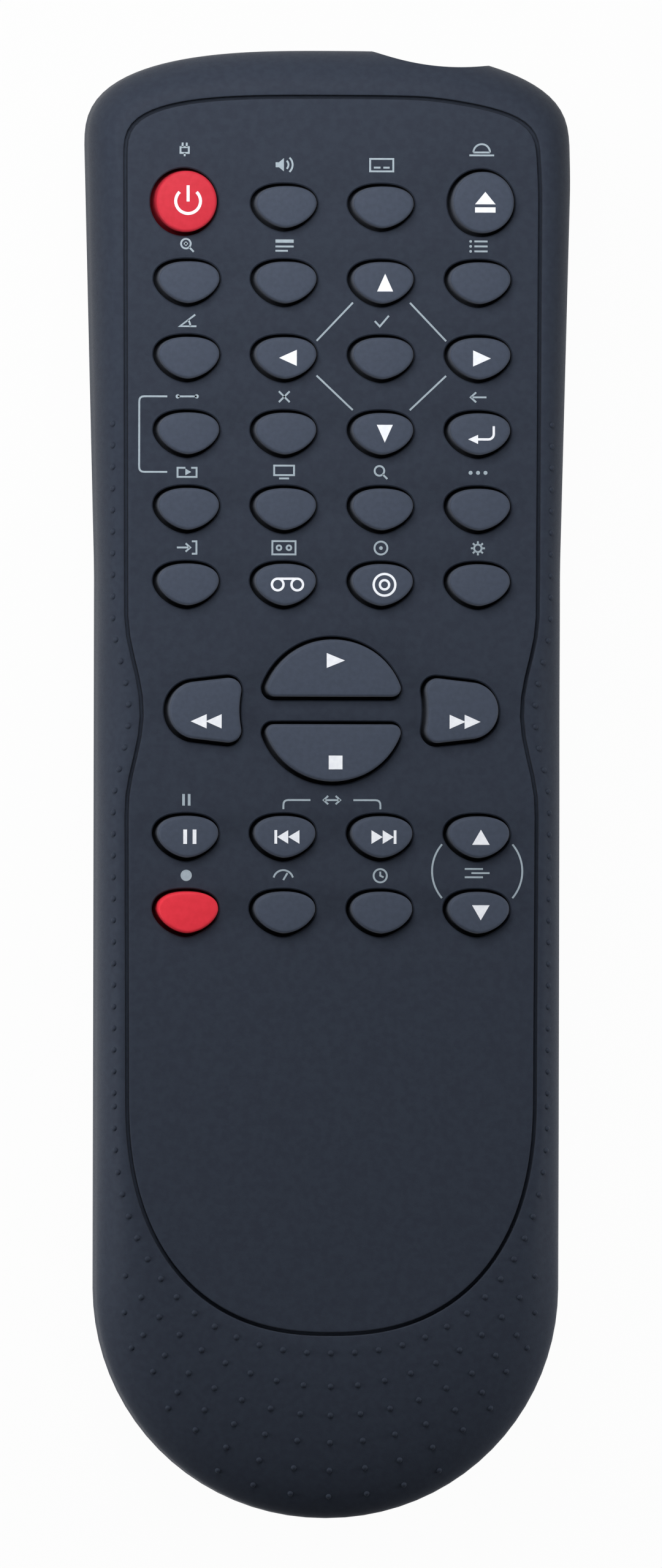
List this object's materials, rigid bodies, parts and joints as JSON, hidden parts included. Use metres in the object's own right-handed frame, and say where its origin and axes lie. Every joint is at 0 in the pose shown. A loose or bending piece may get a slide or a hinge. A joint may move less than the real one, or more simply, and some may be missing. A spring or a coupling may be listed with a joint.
{
  "type": "remote control",
  "caption": "Slim handheld remote control for a disc and tape player, with egg-shaped rubber keys on a waisted panel, a rounded grip and a sliding battery door.",
  "frame": {"origin": "middle of the flat back, under the centre of the outline, with the remote lying on its back", "axes": "+Z out of the key face, +Y towards the infrared end, +X to the right as seen from the key face"},
  "size_m": [0.059, 0.178, 0.0234],
  "materials": {
    "housing": "fine satin moulded plastic, dark blue grey",
    "key_rubber": "smooth matt silicone rubber, slate grey",
    "red_key": "smooth matt silicone rubber, red",
    "board": "paper laminate circuit board",
    "cell": "printed sleeve with bare metal ends",
    "contact": "plated spring steel",
    "screw": "zinc plated",
    "diode": "clear moulded resin",
    "chip": "black moulded resin",
    "resonator": "dipped ceramic coating, orange brown"
  },
  "bodies": {
    "case": {"upper_housing": "housing", "lower_housing": "housing", "circuit_board": "board", "keypad_mat": "key_rubber", "battery_1": "cell", "battery_2": "cell", "positive_contact": "contact", "negative_contact": "contact", "bridge_contact": "contact", "infrared_diode": "diode", "case_screw_1": "screw", "case_screw_2": "screw", "controller_chip": "chip", "resonator": "resonator", "capacitor": "chip", "transistor": "chip"},
    "door": {"battery_door": "housing"},
    "power": {"power_key": "red_key"},
    "audio": {"audio_key": "key_rubber"},
    "subtitle": {"subtitle_key": "key_rubber"},
    "open_close": {"open_close_key": "key_rubber"},
    "zoom": {"zoom_key": "key_rubber"},
    "title": {"title_key": "key_rubber"},
    "up": {"up_key": "key_rubber"},
    "menu": {"menu_key": "key_rubber"},
    "angle": {"angle_key": "key_rubber"},
    "left": {"left_key": "key_rubber"},
    "enter": {"enter_key": "key_rubber"},
    "right": {"right_key": "key_rubber"},
    "a_b": {"a_b_key": "key_rubber"},
    "clear": {"clear_key": "key_rubber"},
    "down": {"down_key": "key_rubber"},
    "return": {"return_key": "key_rubber"},
    "repeat": {"repeat_key": "key_rubber"},
    "display": {"display_key": "key_rubber"},
    "search": {"search_key": "key_rubber"},
    "mode": {"mode_key": "key_rubber"},
    "input": {"input_key": "key_rubber"},
    "tape": {"tape_key": "key_rubber"},
    "disc": {"disc_key": "key_rubber"},
    "setup": {"setup_key": "key_rubber"},
    "rewind": {"rewind_key": "key_rubber"},
    "play": {"play_key": "key_rubber"},
    "stop": {"stop_key": "key_rubber"},
    "forward": {"forward_key": "key_rubber"},
    "pause": {"pause_key": "key_rubber"},
    "skip_back": {"skip_back_key": "key_rubber"},
    "skip_forward": {"skip_forward_key": "key_rubber"},
    "tracking_up": {"tracking_up_key": "key_rubber"},
    "record": {"record_key": "red_key"},
    "speed": {"speed_key": "key_rubber"},
    "timer": {"timer_key": "key_rubber"},
    "tracking_down": {"tracking_down_key": "key_rubber"}
  },
  "joints": [
    {"name": "door_slide", "type": "slide", "parent": "case", "child": "door", "axis": [0, -1, 0], "range_m": [0, 0.07]},
    {"name": "power_press", "type": "slide", "parent": "case", "child": "power", "axis": [0, 0, -1], "range_m": [0, 0.0009], "stiffness_N_per_m": 400},
    {"name": "audio_press", "type": "slide", "parent": "case", "child": "audio", "axis": [0, 0, -1], "range_m": [0, 0.0009], "stiffness_N_per_m": 400},
    {"name": "subtitle_press", "type": "slide", "parent": "case", "child": "subtitle", "axis": [0, 0, -1], "range_m": [0, 0.0009], "stiffness_N_per_m": 400},
    {"name": "open_close_press", "type": "slide", "parent": "case", "child": "open_close", "axis": [0, 0, -1], "range_m": [0, 0.0009], "stiffness_N_per_m": 400},
    {"name": "zoom_press", "type": "slide", "parent": "case", "child": "zoom", "axis": [0, 0, -1], "range_m": [0, 0.0009], "stiffness_N_per_m": 400},
    {"name": "title_press", "type": "slide", "parent": "case", "child": "title", "axis": [0, 0, -1], "range_m": [0, 0.0009], "stiffness_N_per_m": 400},
    {"name": "up_press", "type": "slide", "parent": "case", "child": "up", "axis": [0, 0, -1], "range_m": [0, 0.0009], "stiffness_N_per_m": 400},
    {"name": "menu_press", "type": "slide", "parent": "case", "child": "menu", "axis": [0, 0, -1], "range_m": [0, 0.0009], "stiffness_N_per_m": 400},
    {"name": "angle_press", "type": "slide", "parent": "case", "child": "angle", "axis": [0, 0, -1], "range_m": [0, 0.0009], "stiffness_N_per_m": 400},
    {"name": "left_press", "type": "slide", "parent": "case", "child": "left", "axis": [0, 0, -1], "range_m": [0, 0.0009], "stiffness_N_per_m": 400},
    {"name": "enter_press", "type": "slide", "parent": "case", "child": "enter", "axis": [0, 0, -1], "range_m": [0, 0.0009], "stiffness_N_per_m": 400},
    {"name": "right_press", "type": "slide", "parent": "case", "child": "right", "axis": [0, 0, -1], "range_m": [0, 0.0009], "stiffness_N_per_m": 400},
    {"name": "a_b_press", "type": "slide", "parent": "case", "child": "a_b", "axis": [0, 0, -1], "range_m": [0, 0.0009], "stiffness_N_per_m": 400},
    {"name": "clear_press", "type": "slide", "parent": "case", "child": "clear", "axis": [0, 0, -1], "range_m": [0, 0.0009], "stiffness_N_per_m": 400},
    {"name": "down_press", "type": "slide", "parent": "case", "child": "down", "axis": [0, 0, -1], "range_m": [0, 0.0009], "stiffness_N_per_m": 400},
    {"name": "return_press", "type": "slide", "parent": "case", "child": "return", "axis": [0, 0, -1], "range_m": [0, 0.0009], "stiffness_N_per_m": 400},
    {"name": "repeat_press", "type": "slide", "parent": "case", "child": "repeat", "axis": [0, 0, -1], "range_m": [0, 0.0009], "stiffness_N_per_m": 400},
    {"name": "display_press", "type": "slide", "parent": "case", "child": "display", "axis": [0, 0, -1], "range_m": [0, 0.0009], "stiffness_N_per_m": 400},
    {"name": "search_press", "type": "slide", "parent": "case", "child": "search", "axis": [0, 0, -1], "range_m": [0, 0.0009], "stiffness_N_per_m": 400},
    {"name": "mode_press", "type": "slide", "parent": "case", "child": "mode", "axis": [0, 0, -1], "range_m": [0, 0.0009], "stiffness_N_per_m": 400},
    {"name": "input_press", "type": "slide", "parent": "case", "child": "input", "axis": [0, 0, -1], "range_m": [0, 0.0009], "stiffness_N_per_m": 400},
    {"name": "tape_press", "type": "slide", "parent": "case", "child": "tape", "axis": [0, 0, -1], "range_m": [0, 0.0009], "stiffness_N_per_m": 400},
    {"name": "disc_press", "type": "slide", "parent": "case", "child": "disc", "axis": [0, 0, -1], "range_m": [0, 0.0009], "stiffness_N_per_m": 400},
    {"name": "setup_press", "type": "slide", "parent": "case", "child": "setup", "axis": [0, 0, -1], "range_m": [0, 0.0009], "stiffness_N_per_m": 400},
    {"name": "rewind_press", "type": "slide", "parent": "case", "child": "rewind", "axis": [0, 0, -1], "range_m": [0, 0.0009], "stiffness_N_per_m": 400},
    {"name": "play_press", "type": "slide", "parent": "case", "child": "play", "axis": [0, 0, -1], "range_m": [0, 0.0009], "stiffness_N_per_m": 400},
    {"name": "stop_press", "type": "slide", "parent": "case", "child": "stop", "axis": [0, 0, -1], "range_m": [0, 0.0009], "stiffness_N_per_m": 400},
    {"name": "forward_press", "type": "slide", "parent": "case", "child": "forward", "axis": [0, 0, -1], "range_m": [0, 0.0009], "stiffness_N_per_m": 400},
    {"name": "pause_press", "type": "slide", "parent": "case", "child": "pause", "axis": [0, 0, -1], "range_m": [0, 0.0009], "stiffness_N_per_m": 400},
    {"name": "skip_back_press", "type": "slide", "parent": "case", "child": "skip_back", "axis": [0, 0, -1], "range_m": [0, 0.0009], "stiffness_N_per_m": 400},
    {"name": "skip_forward_press", "type": "slide", "parent": "case", "child": "skip_forward", "axis": [0, 0, -1], "range_m": [0, 0.0009], "stiffness_N_per_m": 400},
    {"name": "tracking_up_press", "type": "slide", "parent": "case", "child": "tracking_up", "axis": [0, 0, -1], "range_m": [0, 0.0009], "stiffness_N_per_m": 400},
    {"name": "record_press", "type": "slide", "parent": "case", "child": "record", "axis": [0, 0, -1], "range_m": [0, 0.0009], "stiffness_N_per_m": 400},
    {"name": "speed_press", "type": "slide", "parent": "case", "child": "speed", "axis": [0, 0, -1], "range_m": [0, 0.0009], "stiffness_N_per_m": 400},
    {"name": "timer_press", "type": "slide", "parent": "case", "child": "timer", "axis": [0, 0, -1], "range_m": [0, 0.0009], "stiffness_N_per_m": 400},
    {"name": "tracking_down_press", "type": "slide", "parent": "case", "child": "tracking_down", "axis": [0, 0, -1], "range_m": [0, 0.0009], "stiffness_N_per_m": 400}
  ]
}
